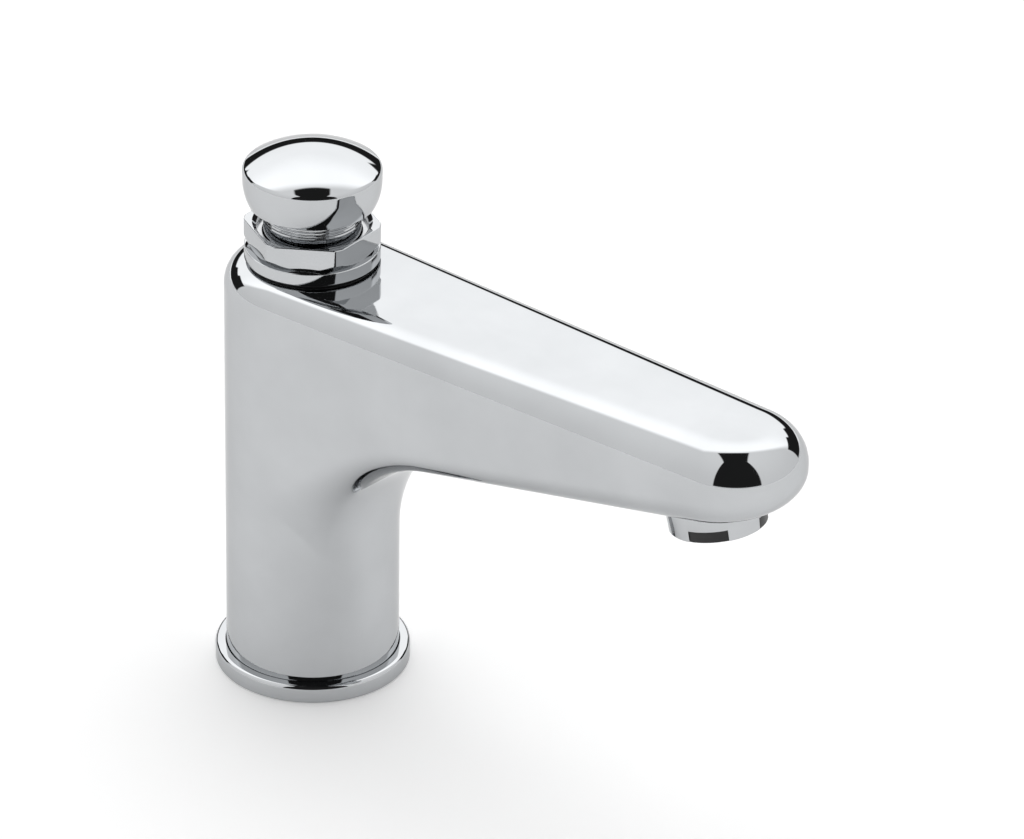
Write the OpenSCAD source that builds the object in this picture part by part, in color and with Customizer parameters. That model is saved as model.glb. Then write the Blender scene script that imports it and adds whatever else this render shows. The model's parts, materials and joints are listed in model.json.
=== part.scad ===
// Push timed tap for a basin: a chromed column and spout with a slow-closing push valve.
// Millimetres, +Z up. The origin is the centre of the foot on the deck, and the spout points along +X.

/* [Column] */
// Diameter of the column
column_d = 46; // [44:0.5:50]
// Height of the body's level top above the deck
body_top = 119.4; // [116:0.2:130]
// Width of the trim ring round the foot
base_ring_w = 2.85; // [2:0.05:6]
// Height of the trim ring
base_ring_h = 4.8; // [3:0.1:8]
// Rounding of the trim ring's top edge
base_ring_round = 1.2; // [0.5:0.1:1.8]

/* [Spout] */
// Distance from the column's axis to the centre of the spout's round tip
spout_reach = 136.5; // [120:0.5:160]
// Radius of the spout's round tip, seen from above
tip_r = 18.8; // [18:0.1:21]
// Depth of the spout at the column's axis, from the top to the underside's slope
root_depth = 48.3; // [46:0.1:52]
// Rise of the underside towards the tip, in degrees
underside_rise = 10.7; // [9:0.1:11]
// Rounding of the top edge at the column
top_round = 7; // [5:0.1:8]
// Rounding of the top edge at the tip
tip_round = 11; // [7:0.1:11]
// Rounding of the lower edge
under_round = 7.7; // [5:0.1:7.8]
// Hollow rounding where the underside meets the column
root_fillet = 10; // [6:0.5:14]
// Diameter of the waterway into and out of the spout's hollow
waterway_d = 11; // [8:0.5:12]
// Wall of the hollow casting round the spout's core
cast_wall = 5; // [4:0.5:6]

/* [Collar nut] */
// Room between the stem and the collar's mouth, which the guide bush fills
bush_wall = 1.9; // [1.7:0.1:2.4]
// Wall of the collar's threaded spigot round its mouth
spigot_wall = 1.4; // [1.2:0.1:1.8]
// Wall of the collar between its mouth and its flats
nut_wall = 1.4; // [1.3:0.1:2]
// Height of the collar's corners over its flats
nut_corner = 2.2; // [1:0.1:2.3]
// Height of the collar above its seal
nut_h = 9.8; // [9:0.1:12]
// Turn of the collar's flats about the column, in degrees
nut_turn = 2; // [-30:1:30]
// Width of the collar's round flange past its thread
flange_w = 1.7; // [1.4:0.1:2.4]
// Height of the collar's round flange
flange_h = 3.4; // [2:0.1:4]
// Bevel of the collar's top edge
nut_bevel = 0.4; // [0.2:0.1:0.6]
// Bevel of the collar's mouth
mouth_bevel = 1; // [0.4:0.1:1]
// Depth of the mouth down to the bush's seat
mouth_depth = 16; // [14:0.5:20]
// Thickness of the seal under the collar
head_seal_t = 0.8; // [0.6:0.1:2]

/* [Button and stem] */
// Travel of the button
stroke = 5; // [3:0.5:6]
// Largest diameter of the button
button_d = 36.2; // [35:0.1:38]
// Height of the button from skirt to crown
button_h = 15.6; // [14.8:0.1:17]
// Height of the button's widest line above its lower edge
button_belly = 6.8; // [6:0.1:7.4]
// Diameter of the button's lower edge
button_foot_d = 33; // [30:0.1:34]
// Radius of the button's dome
button_dome = 32; // [30:0.5:40]
// Rounding of the edge between the button's dome and its side
button_rim_round = 1.6; // [0.8:0.1:2]
// Gap that stays between button and collar when the button is pushed down
button_rest = 0.7; // [0.4:0.1:2]
// Diameter of the stem
stem_d = 25.4; // [25:0.1:25.6]
// Wall of the hollow stem
stem_wall = 2; // [1.6:0.1:2.4]
// Count of turned grooves round the stem's upper end
stem_grooves = 5; // [2:1:6]
// Spacing of the stem's turned grooves
groove_pitch = 0.9; // [0.8:0.1:1.2]
// Diameter of the spindle
spindle_d = 8; // [7:0.5:9]

/* [Valve] */
// Diameter of the dashpot bore
dashpot_d = 20; // [18:0.5:20.5]
// Diameter of the waterway through the valve seat
seat_bore_d = 14; // [12:0.5:15]
// Width of the valve washer past the seat's waterway
washer_lap = 2; // [1.6:0.1:2.4]
// Wire of the return spring
spring_wire = 1.8; // [1.2:0.1:2]
// Turns of the return spring
spring_turns = 6; // [4:1:8]

/* [Foot] */
// Wall of the column round the brass plug in its foot
foot_wall = 5; // [4.5:0.1:6]
// Height of the plug's rim over the discs in it
plug_rim = 2; // [1:0.1:4]
// Diameter of the inlet's thread, at its crests
inlet_d = 15; // [12:0.5:16]
// Depth of the inlet's thread
inlet_depth = 9; // [8:0.5:12]
// Diameter of the fixing-stud threads, at their crests
stud_d = 5; // [4:0.5:6]
// Distance of a fixing stud's axis from the plug's rim
stud_edge = 4.5; // [4:0.1:5]
// Depth of the fixing-stud threads
stud_depth = 8; // [6:0.5:8]

/* [Outlet] */
// Distance of the outlet behind the centre of the spout's tip
outlet_back = 5.2; // [4:0.1:10]
// Diameter of the outlet's thread
outlet_thread_d = 24; // [22:0.5:24]
// Largest diameter of the aerator's skirt
aerator_d = 26; // [25:0.1:28]
// Height of the aerator's skirt under the spout
aerator_h = 6.7; // [6:0.1:9]
// Count of notches in the aerator's lower edge
aerator_notches = 4; // [2:1:4]
// Width of a notch
notch_w = 10.2; // [6:0.1:12]
// Height of a notch
notch_h = 3.2; // [2:0.1:4]
// Turn of the notches about the outlet, in degrees
aerator_turn = -64; // [-90:1:90]

/* [Hidden] */
$fn = 96;

// Radial room of a fixed fit, of a sliding fit, and between pieces that pass each other
fit = 0.1;
slide = 0.1;
pass = 0.3;
// Overlap of cutters past the face that they open
cut = 1;

// Body
column_r = column_d / 2;
blend_inset = 0.15;
root_overlap = 3;
under_z0 = body_top - root_depth;
function underside(x) = under_z0 + x * tan(underside_rise);
hull_fn = 60;
section_fn = 40;

// Collar, from the stem outwards
mouth_d = stem_d + 2 * bush_wall;
head_thread_d = mouth_d + 2 * spigot_wall;
nut_af = mouth_d + 2 * nut_wall;
nut_d = nut_af + 2 * nut_corner;
flange_r = head_thread_d / 2 + flange_w;
seal_inset = 0.8;

// Stack in the collar, from the body's top
nut_z = body_top + head_seal_t;
nut_top = nut_z + nut_h;
bush_z = nut_top - mouth_depth;
circlip_t = 1;
circlip_down = 2.4;
wiper_t = 1.6;
bush_h = mouth_depth - circlip_down - circlip_t - wiper_t;
wiper_z = bush_z + bush_h;
circlip_z = wiper_z + wiper_t;
circlip_groove = 0.5;
stem_flange_w = 0.6;
stem_flange_r = stem_d / 2 + stem_flange_w;
stem_flange_t = 2.7;
stop_gap = pass;
end_gap = 1.5;
spigot_z = bush_z - stop_gap - stem_flange_t - stroke - end_gap;
neck_bore_r = stem_flange_r + pass;
bush_bore_r = stem_d / 2 + slide;

// Button and stem
button_z = nut_top + stroke + button_rest;
stem_bottom = bush_z - stop_gap - stem_flange_t;
web_t = 3.3;
web_z = button_z - web_t;
stem_bore_r = stem_d / 2 - stem_wall;
button_spigot_r = 10;
button_spigot_h = 4.5;
belly_r = (pow((button_d - button_foot_d) / 2, 2) + pow(button_belly, 2)) / (button_d - button_foot_d);
rim_r = button_d / 2 - button_rim_round;
rim_drop = button_dome - sqrt(pow(button_dome - button_rim_round, 2) - pow(rim_r, 2));
dome_edge_r = rim_r * button_dome / (button_dome - button_rim_round);
groove_depth = 0.3;
groove_first = 0.8;

// Spindle and its nuts
spindle_shoulder = 1;
spindle_end_d = spindle_d - 2 * spindle_shoulder;
nut_meat = 2;
lock_nut_h = 4.5;
lock_nut_af = spindle_d + 2 * nut_meat;
thread_in_button = 9.5;
spindle_top = button_z + thread_in_button;

// Foot
plug_r = column_r - foot_wall;
plug_ring_down = 4.5;
stud_spacing = 2 * (plug_r - stud_edge);
strainer_ledge = 3;
strainer_r = inlet_d / 2 + strainer_ledge;
strainer_rim = 1.5;
strainer_t = 3;
strainer_hole = 1.2;
strainer_pitch = 1.7;
regulator_t = 4;
regulator_hole = 2.6;
regulator_edge = 1.2;
plug_h = inlet_depth + strainer_t + regulator_t + plug_rim;
gasket_w = 2;
gasket_t = 1.7;
gasket_r = (plug_r + fit + column_r) / 2;

// Valve under its seat, from the plug upwards
washer_nut_h = 4;
washer_nut_af = spindle_end_d + 2 * nut_meat;
tail = 1;
holder_t = 3;
holder_rim_h = 1.8;
holder_wall = 0.8;
washer_t = 3.5;
washer_d = seat_bore_d + 2 * washer_lap;
valve_gap = 0.25;
lip_h = 0.5;
nozzle_h = 4;
seat_t = 6;
tail_room = 2.25;
tail_z = plug_h + tail_room;
washer_nut_z = tail_z + stroke + tail;
holder_z = washer_nut_z + washer_nut_h;
washer_z = holder_z + holder_t;
washer_top = washer_z + washer_t;
lip_z = washer_top + valve_gap;
seat_z = lip_z + lip_h + nozzle_h;
seat_top = seat_z + seat_t;
nozzle_edge = 1;
nozzle_r = washer_d / 2 + nozzle_edge;
lip_w = 1.5;

// Dashpot cartridge between the seat and the collar's spigot
cap_flange_t = 4;
cap_z = spigot_z - cap_flange_t;
cap_plug_h = 6;
cap_ledge = 1.7;
chamber_r = head_thread_d / 2 - cap_ledge;
land_r = chamber_r - fit;
land_h = 10;
tube_wall = 2;
tube_r = dashpot_d / 2 + tube_wall;
window_h = 10;
window_d = 7;
floor_z = seat_top + window_h;
floor_t = 4;
piston_room = 2;
lip_seal_h = 3;
piston_h = 5;
clip_t = 1;
clip_w = 1.5;
clip_groove = 1;
piston_z = cap_z - cap_plug_h - piston_room - lip_seal_h - piston_h;
feed_room = 3;
feed_r = washer_d / 2 + feed_room;

// O-rings: section and how far each is squeezed into its groove
ring_section = 2.4;
ring_groove_w = 2.8;
ring_groove_d = 1.9;

// Outlet, measured along its axis from the underside
outlet_x = spout_reach - outlet_back;
outlet_thread_r = outlet_thread_d / 2;
outlet_depth = 9.5;
aerator_washer_t = 1.5;
aerator_spigot_h = outlet_depth - aerator_washer_t;
aerator_wall = 1.7;
aerator_bore_r = outlet_thread_r - aerator_wall;
aerator_taper = 0.3;
aerator_bevel = 0.5;
lug_recess = 0.2;
insert_t = 4;
insert_up = 1.2;
insert_hole = 1.7;
insert_pitch = 2.3;
screen_t = 0.8;
screen_hole = 1.1;
screen_pitch = 1.6;
aerator_step = 0.8;

// Return spring
spring_z0 = spigot_z;
spring_z1 = web_z;
spring_room = 0.5;
spring_r = stem_bore_r - spring_room - spring_wire / 2;
spring_closing = 0.08;
spring_sides = 8;
spring_rings = 14;

// Places a child on the outlet's axis, with +Z out of the spout's underside along that axis
module at_outlet() {
  translate([outlet_x, 0, underside(outlet_x)])
    rotate([0, 180 - underside_rise, 0])
      children();
}

// Upper half of a ring of round section; a section wider than the ring's radius closes over its middle
module round_ring(r, section_r) {
  rotate_extrude($fn = hull_fn)
    intersection() {
      translate([r - section_r, 0])
        circle(section_r, $fn = section_fn);
      square([r, section_r]);
    }
}

// A flat ring between two radii
module washer(r_out, r_in, h) {
  difference() {
    cylinder(r = r_out, h = h);
    translate([0, 0, -cut])
      cylinder(r = r_in, h = h + 2 * cut);
  }
}

// A hexagon prism of a given width across its flats, a flat facing +X
module hexagon(af, h) {
  rotate([0, 0, 30])
    cylinder(d = af / cos(30), h = h, $fn = 6);
}

// A nut with its corners chamfered above and below
module hex_nut(af, bore_r, h) {
  corner_r = af / cos(30) / 2;
  bevel = corner_r - af / 2;
  difference() {
    intersection() {
      hexagon(af, h);
      rotate_extrude()
        polygon([
          [0, 0], [af / 2, 0], [corner_r, bevel], [corner_r, h - bevel], [af / 2, h], [0, h]
        ]);
    }
    translate([0, 0, -cut])
      cylinder(r = bore_r, h = h + 2 * cut);
  }
}

// A rubber ring squeezed into a groove whose floor has radius floor_r
module o_ring(floor_r) {
  rotate_extrude()
    translate([floor_r + ring_groove_d / 2, 0])
      intersection() {
        circle(d = ring_section, $fn = 48);
        square([ring_groove_d - fit, ring_section], center = true);
      }
}

// The groove for a rubber ring in a cylinder of radius r, centred on z = 0
module ring_groove(r) {
  translate([0, 0, -ring_groove_w / 2])
    washer(r + cut, r - ring_groove_d, ring_groove_w);
}

// Rows of small holes in rings about the axis, the first ring one pitch out
module hole_rings(d, pitch, rings, h) {
  for (k = [0:rings - 1])
    for (i = [0:6 * (k + 1) - 1])
      rotate([0, 0, 360 * i / (6 * (k + 1))])
        translate([(k + 1) * pitch, 0, -cut])
          cylinder(d = d, h = h + 2 * cut, $fn = 24);
}

// Outside of the column, with its rounded top edge
module column_outside() {
  rotate_extrude() {
    square([column_r, body_top - top_round]);
    square([column_r - top_round, body_top]);
    translate([column_r - top_round, body_top - top_round])
      intersection() {
        circle(top_round);
        square(top_round);
      }
  }
}

// Outside of the spout: level on top, rising underneath, round at its tip
module spout_outside() {
  root_r = column_r - blend_inset;
  hull() {
    for (end = [[0, root_r, top_round], [spout_reach, tip_r, tip_round]]) {
      translate([end[0], 0, body_top - end[2]])
        round_ring(end[1], end[2]);
      translate([0, 0, under_z0])
        rotate([0, -underside_rise, 0])
          translate([end[0] / cos(underside_rise) + under_round * tan(underside_rise), 0, under_round])
            rotate([180, 0, 0])
              round_ring(end[1], under_round);
    }
  }
}

// Plan of column and spout as a prism between two heights
module plan_prism(z0, z1, inset) {
  translate([0, 0, z0])
    linear_extrude(z1 - z0)
      hull() {
        circle(column_r - inset, $fn = hull_fn);
        translate([spout_reach, 0])
          circle(tip_r - inset, $fn = hull_fn);
      }
}

// Hollow rounding under the spout, turned about the column and trimmed to the spout's sides
module root_rounding() {
  centre_x = column_r + root_fillet;
  touch_x = centre_x - root_fillet * sin(underside_rise);
  centre_z = underside(touch_x) - root_fillet * cos(underside_rise);
  inner_r = column_r - root_overlap;
  intersection() {
    rotate_extrude()
      difference() {
        translate([inner_r, centre_z])
          square([touch_x - inner_r, underside(touch_x) - centre_z + under_round]);
        translate([centre_x, centre_z])
          circle(root_fillet);
      }
    plan_prism(centre_z - cut, underside(touch_x) + 2 * under_round, under_round / 2);
  }
}

// Chambers of the column, one on top of the other
module column_chambers() {
  translate([0, 0, -cut])
    cylinder(r = plug_r + fit, h = plug_h + cut);
  cylinder(r = feed_r, h = seat_z + cut);
  translate([0, 0, seat_z])
    cylinder(r = chamber_r, h = cap_z - seat_z + cut);
  translate([0, 0, cap_z])
    cylinder(d = head_thread_d, h = body_top - cap_z + cut);
}

// Waterway from the column's chamber to the outlet
module spout_waterway() {
  start = [0, 0, (underside(column_r) + body_top) / 2 - waterway_d];
  turn = outlet_depth - aerator_washer_t / 2;
  finish = [
    outlet_x - turn * sin(underside_rise), 0, underside(outlet_x) + turn * cos(underside_rise)
  ];
  run = finish - start;
  translate(start)
    rotate([0, 90 - atan2(run[2], run[0]), 0])
      cylinder(d = waterway_d, h = norm(run));
  at_outlet()
    translate([0, 0, -outlet_depth])
      cylinder(r = outlet_thread_r, h = outlet_depth + under_round);
}

// Hollow left by the core inside the spout, between the column's thread and the outlet
module spout_core() {
  near_x = head_thread_d / 2 + cast_wall;
  far_x = outlet_x - outlet_depth * sin(underside_rise) - outlet_thread_r - cast_wall;
  intersection() {
    rotate([90, 0, 0])
      linear_extrude(2 * column_d, center = true)
        polygon([
          [near_x, underside(near_x) + cast_wall], [far_x, underside(far_x) + cast_wall],
          [far_x, body_top - cast_wall], [near_x, body_top - cast_wall]
        ]);
    plan_prism(0, body_top, cast_wall);
  }
}

// Column and spout in one hollow casting, bored for plug, valve, cartridge, collar and aerator
module body_casting() {
  color("silver")
    difference() {
      union() {
        column_outside();
        spout_outside();
        root_rounding();
      }
      column_chambers();
      spout_core();
      spout_waterway();
      translate([0, 0, -cut])
        washer(gasket_r + gasket_w / 2 + fit, gasket_r - gasket_w / 2 - fit, gasket_t + cut);
    }
}

// Trim ring that slides down over the column
module base_ring() {
  inner = column_r + fit;
  outer = inner + base_ring_w;
  color("silver")
    rotate_extrude() {
      translate([inner, 0])
        square([base_ring_w, base_ring_h - base_ring_round]);
      translate([inner, 0])
        square([base_ring_w - base_ring_round, base_ring_h]);
      translate([outer - base_ring_round, base_ring_h - base_ring_round])
        intersection() {
          circle(base_ring_round);
          square(base_ring_round);
        }
    }
}

// Flat seal in the groove under the column
module base_gasket() {
  color("dimgray")
    washer(gasket_r + gasket_w / 2, gasket_r - gasket_w / 2, gasket_t);
}

// Brass plug with the inlet in its middle and a fixing-stud thread on either side
module base_plug() {
  color("goldenrod")
    difference() {
      cylinder(r = plug_r, h = plug_h);
      translate([0, 0, -cut])
        cylinder(d = inlet_d, h = plug_h + 2 * cut);
      translate([0, 0, inlet_depth])
        cylinder(r = strainer_r, h = plug_h);
      for (side = [-1, 1])
        translate([0, side * stud_spacing / 2, -cut])
          cylinder(d = stud_d, h = stud_depth + cut);
      translate([0, 0, plug_h - plug_ring_down])
        ring_groove(plug_r);
    }
}

// Rubber ring round the plug
module plug_o_ring() {
  color("dimgray")
    translate([0, 0, plug_h - plug_ring_down])
      o_ring(plug_r - ring_groove_d);
}

// Filter disc over the inlet
module inlet_strainer() {
  color("lightsteelblue")
    translate([0, 0, inlet_depth])
      difference() {
        cylinder(r = strainer_r - fit, h = strainer_t);
        translate([0, 0, strainer_t / 2])
          cylinder(r = strainer_r - strainer_rim, h = strainer_t);
        hole_rings(strainer_hole, strainer_pitch, 3, strainer_t);
      }
}

// Perforated disc that evens out the flow
module flow_regulator() {
  color("seagreen")
    translate([0, 0, inlet_depth + strainer_t])
      difference() {
        cylinder(r = strainer_r - fit, h = regulator_t);
        hole_rings(regulator_hole, inlet_d / 2 - regulator_edge, 1, regulator_t);
      }
}

// Brass seat on the column's ledge, with the nozzle that the washer closes from below
module valve_seat() {
  color("goldenrod")
    difference() {
      union() {
        translate([0, 0, seat_z])
          cylinder(r = land_r, h = seat_t);
        translate([0, 0, seat_z - nozzle_h])
          cylinder(r = nozzle_r, h = nozzle_h);
        translate([0, 0, lip_z])
          cylinder(d = seat_bore_d + 2 * lip_w, h = lip_h);
      }
      translate([0, 0, lip_z - cut])
        cylinder(d = seat_bore_d, h = seat_top - lip_z + 2 * cut);
      translate([0, 0, seat_z + seat_t / 2])
        ring_groove(land_r);
    }
}

// Rubber ring round the seat
module seat_o_ring() {
  color("dimgray")
    translate([0, 0, seat_z + seat_t / 2])
      o_ring(land_r - ring_groove_d);
}

// Dashpot cylinder on four legs over the seat
module cartridge_cylinder() {
  color("goldenrod")
    difference() {
      union() {
        translate([0, 0, seat_top])
          cylinder(r = tube_r, h = cap_z - seat_top);
        translate([0, 0, cap_z - land_h])
          cylinder(r = land_r, h = land_h);
      }
      translate([0, 0, floor_z + floor_t])
        cylinder(d = dashpot_d, h = cap_z - floor_z);
      translate([0, 0, seat_top - cut])
        cylinder(d = dashpot_d, h = window_h + cut);
      translate([0, 0, seat_top])
        cylinder(r = spindle_d / 2 + slide, h = cap_z - seat_top);
      for (turn = [0, 90])
        rotate([0, 0, turn])
          translate([0, 0, seat_top + window_h / 2])
            rotate([90, 0, 0])
              cylinder(d = window_d, h = 4 * tube_r, center = true);
      translate([0, 0, cap_z - land_h / 2])
        ring_groove(land_r);
    }
}

// Rubber ring round the cylinder's land
module cartridge_o_ring() {
  color("dimgray")
    translate([0, 0, cap_z - land_h / 2])
      o_ring(land_r - ring_groove_d);
}

// Cap that closes the dashpot and is clamped on the column's ledge
module cartridge_cap() {
  color("goldenrod")
    difference() {
      union() {
        translate([0, 0, cap_z])
          cylinder(r = head_thread_d / 2 - fit, h = cap_flange_t);
        translate([0, 0, cap_z - cap_plug_h])
          cylinder(r = dashpot_d / 2 - fit, h = cap_plug_h);
      }
      translate([0, 0, cap_z - cap_plug_h - cut])
        cylinder(r = spindle_d / 2 + slide, h = cap_plug_h + cap_flange_t + 2 * cut);
    }
}

// Hexagon collar on a round flange, chamfered where they meet, and the threaded spigot under it
module headwork_nut() {
  color("silver")
    difference() {
      union() {
        translate([0, 0, nut_z])
          cylinder(r = flange_r, h = flange_h);
        translate([0, 0, nut_z])
          intersection() {
            rotate([0, 0, nut_turn])
              hexagon(nut_af, nut_h);
            rotate_extrude()
              polygon([
                [0, 0], [nut_af / 2, 0], [nut_af / 2, flange_h], [nut_d / 2, flange_h + nut_corner],
                [nut_d / 2, nut_h - nut_bevel], [nut_d / 2 - nut_bevel, nut_h], [0, nut_h]
              ]);
          }
        translate([0, 0, spigot_z])
          cylinder(r = head_thread_d / 2 - fit, h = nut_z - spigot_z + cut);
      }
      translate([0, 0, bush_z])
        cylinder(d = mouth_d, h = mouth_depth + cut);
      translate([0, 0, nut_top - mouth_bevel])
        cylinder(r1 = mouth_d / 2, r2 = mouth_d / 2 + mouth_bevel + cut, h = mouth_bevel + cut);
      translate([0, 0, spigot_z - cut])
        cylinder(r = neck_bore_r, h = nut_top - spigot_z);
      translate([0, 0, circlip_z])
        cylinder(r = mouth_d / 2 + circlip_groove, h = circlip_t + fit);
    }
}

// Black seal between collar and body
module headwork_seal() {
  color("dimgray")
    translate([0, 0, body_top])
      washer(flange_r - seal_inset, head_thread_d / 2, head_seal_t);
}

// Plastic bush that the stem slides in
module guide_bush() {
  color("ivory")
    translate([0, 0, bush_z])
      washer(mouth_d / 2 - fit, bush_bore_r, bush_h);
}

// Rubber ring that wipes the stem
module stem_wiper() {
  color("dimgray")
    translate([0, 0, wiper_z])
      washer(mouth_d / 2 - fit, bush_bore_r, wiper_t);
}

// Spring-steel ring in the collar's groove, open at one side
module circlip() {
  opening = 5;
  color("gainsboro")
    translate([0, 0, circlip_z])
      difference() {
        washer(mouth_d / 2 + circlip_groove - fit, stem_d / 2 + pass, circlip_t);
        translate([-mouth_d, -opening / 2, -cut])
          cube([mouth_d, opening, circlip_t + 2 * cut]);
      }
}

// Centre of the spring's wire at a share of its length, its end turns lying closer
function spring_point(s) =
  let (
    turn = 360 * spring_turns * s,
    rise = s - sin(360 * s) * spring_closing,
    low = spring_z0 + spring_wire / 2 + pass,
    high = spring_z1 - spring_wire / 2 - pass
  )
  [spring_r * cos(turn), spring_r * sin(turn), low + (high - low) * rise];

// Ring of points round the wire at a share of its length
function spring_ring(s) =
  let (turn = 360 * spring_turns * s, c = spring_point(s))
  [for (k = [0:spring_sides - 1])
    let (a = 360 * k / spring_sides, w = spring_wire / 2)
    [c[0] + w * cos(a) * cos(turn), c[1] + w * cos(a) * sin(turn), c[2] + w * sin(a)]];

// Least gap between one turn of the spring and the next
spring_steps = spring_turns * spring_rings;
spring_gap = min([for (i = [0:spring_steps - spring_rings])
  norm(spring_point((i + spring_rings) / spring_steps) - spring_point(i / spring_steps))]) - spring_wire;
echo(spring_gap = spring_gap);

// Return spring, one unbroken tube
module return_spring() {
  points = [for (i = [0:spring_steps]) each spring_ring(i / spring_steps)];
  sides = [for (i = [0:spring_steps - 1], k = [0:spring_sides - 1])
    let (
      a = i * spring_sides + k,
      b = i * spring_sides + (k + 1) % spring_sides
    )
    each [[a, b, a + spring_sides], [b, b + spring_sides, a + spring_sides]]];
  last = spring_steps * spring_sides;
  ends = [
    [for (k = [spring_sides - 1:-1:0]) k],
    [for (k = [0:spring_sides - 1]) last + k]
  ];
  color("lightgray")
    polyhedron(points, concat(sides, ends));
}

// Half section of the button: a bowl up to its widest line, a straight side, a round rim and a dome
module button_section() {
  belly_z = button_z + button_belly;
  crown_z = button_z + button_h;
  rim_z = crown_z - rim_drop;
  intersection() {
    translate([button_d / 2 - belly_r, belly_z])
      circle(belly_r);
    translate([0, button_z])
      square([button_d / 2, button_belly]);
  }
  translate([0, belly_z])
    square([button_d / 2, rim_z - belly_z]);
  translate([rim_r, rim_z])
    circle(button_rim_round);
  intersection() {
    translate([0, crown_z - button_dome])
      circle(button_dome, $fn = 360);
    translate([0, rim_z])
      square([dome_edge_r, rim_drop]);
  }
}

// Domed button with a bowl-shaped skirt
module push_button() {
  color("silver")
    difference() {
      rotate_extrude()
        button_section();
      translate([0, 0, button_z - cut])
        cylinder(r = button_spigot_r + fit, h = button_spigot_h + cut);
      translate([0, 0, button_z])
        cylinder(d = spindle_end_d, h = thread_in_button + cut);
    }
}

// Hollow stem with turned grooves, a web under the button and a stop flange at its lower end
module button_sleeve() {
  color("silver")
    difference() {
      union() {
        translate([0, 0, stem_bottom])
          cylinder(d = stem_d, h = button_z - stem_bottom);
        translate([0, 0, stem_bottom])
          cylinder(r = stem_flange_r, h = stem_flange_t);
        translate([0, 0, button_z])
          cylinder(r = button_spigot_r, h = button_spigot_h - fit);
      }
      translate([0, 0, stem_bottom - cut])
        cylinder(r = stem_bore_r, h = web_z - stem_bottom + cut);
      cylinder(r = spindle_end_d / 2 + fit, h = spindle_top);
      for (i = [0:stem_grooves - 1])
        translate([0, 0, button_z - groove_first - i * groove_pitch])
          rotate_extrude()
            polygon([
              [stem_d / 2 - groove_depth, 0], [stem_d / 2 + cut, groove_depth + cut],
              [stem_d / 2 + cut, -groove_depth - cut]
            ]);
    }
}

// Nut that clamps the stem's web on the spindle
module stem_lock_nut() {
  color("goldenrod")
    translate([0, 0, web_z - lock_nut_h])
      hex_nut(lock_nut_af, spindle_d / 2 + fit, lock_nut_h);
}

// Rod from the button down to the valve washer
module spindle() {
  color("goldenrod")
    difference() {
      union() {
        translate([0, 0, tail_z + stroke])
          cylinder(r = spindle_end_d / 2 - fit, h = spindle_top - tail_z - stroke);
        translate([0, 0, washer_top])
          cylinder(d = spindle_d, h = web_z - washer_top);
      }
      translate([0, 0, piston_z - clip_t])
        washer(spindle_d, spindle_d / 2 - clip_groove, clip_t);
    }
}

// Piston of the dashpot
module timing_piston() {
  color("ivory")
    translate([0, 0, piston_z])
      washer(dashpot_d / 2 - 2 * slide, spindle_d / 2 + fit, piston_h);
}

// Cup seal on top of the piston, open upwards
module piston_lip_seal() {
  outer = dashpot_d / 2 - slide;
  inner = spindle_d / 2 + fit;
  lip = 1.2;
  color("dimgray")
    translate([0, 0, piston_z + piston_h])
      difference() {
        washer(outer, inner, lip_seal_h);
        translate([0, 0, lip_seal_h / 2])
          washer(outer - lip, inner + lip, lip_seal_h);
      }
}

// Clip in the spindle's groove, under the piston
module piston_clip() {
  color("gainsboro")
    translate([0, 0, piston_z - clip_t])
      difference() {
        cylinder(r = spindle_d / 2 + clip_w, h = clip_t);
        translate([0, 0, -cut])
          cylinder(r = spindle_d / 2 - clip_groove + fit, h = clip_t + 2 * cut);
        translate([0, -spindle_d / 4, -cut])
          cube([spindle_d, spindle_d / 2, clip_t + 2 * cut]);
      }
}

// Cup that carries the valve washer
module valve_disc_holder() {
  color("goldenrod")
    translate([0, 0, holder_z])
      difference() {
        cylinder(r = washer_d / 2 + fit + holder_wall, h = holder_t + holder_rim_h);
        translate([0, 0, holder_t])
          cylinder(r = washer_d / 2 + fit, h = holder_rim_h + cut);
        translate([0, 0, -cut])
          cylinder(d = spindle_end_d, h = holder_t + 2 * cut);
      }
}

// Rubber disc that closes the seat
module valve_washer() {
  color("dimgray")
    translate([0, 0, washer_z])
      washer(washer_d / 2, spindle_end_d / 2, washer_t);
}

// Nut under the cup
module washer_nut() {
  color("goldenrod")
    translate([0, 0, washer_nut_z])
      hex_nut(washer_nut_af, spindle_end_d / 2, washer_nut_h);
}

// Blocks in the places of the aerator's notches, smaller by a clearance all round
module notch_blocks(clearance) {
  for (i = [0:aerator_notches - 1])
    rotate([0, 0, 360 * i / aerator_notches - aerator_turn])
      translate([aerator_bore_r - aerator_step, clearance - notch_w / 2, aerator_h - notch_h + clearance])
        cube([aerator_d, notch_w - 2 * clearance, notch_h + cut]);
}

// Chromed ring screwed into the outlet, slightly tapered, with notches in its lower edge
module aerator_housing() {
  skirt_r = aerator_d / 2;
  color("silver")
    at_outlet()
      difference() {
        union() {
          rotate_extrude()
            polygon([
              [0, 0], [skirt_r, 0], [skirt_r - aerator_taper, aerator_h - aerator_bevel],
              [skirt_r - aerator_taper - aerator_bevel, aerator_h], [0, aerator_h]
            ]);
          translate([0, 0, -aerator_spigot_h])
            cylinder(r = outlet_thread_r - fit, h = aerator_spigot_h + cut);
        }
        translate([0, 0, -aerator_spigot_h - cut])
          cylinder(r = aerator_bore_r - aerator_step, h = aerator_spigot_h + aerator_h + 2 * cut);
        translate([0, 0, aerator_h - insert_up - insert_t - screen_t])
          cylinder(r = aerator_bore_r, h = aerator_h);
        notch_blocks(0);
      }
}

// Rubber ring between the aerator and the end of its thread
module aerator_washer() {
  color("dimgray")
    at_outlet()
      translate([0, 0, -outlet_depth])
        washer(outlet_thread_r - fit, aerator_bore_r - aerator_step, aerator_washer_t);
}

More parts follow.
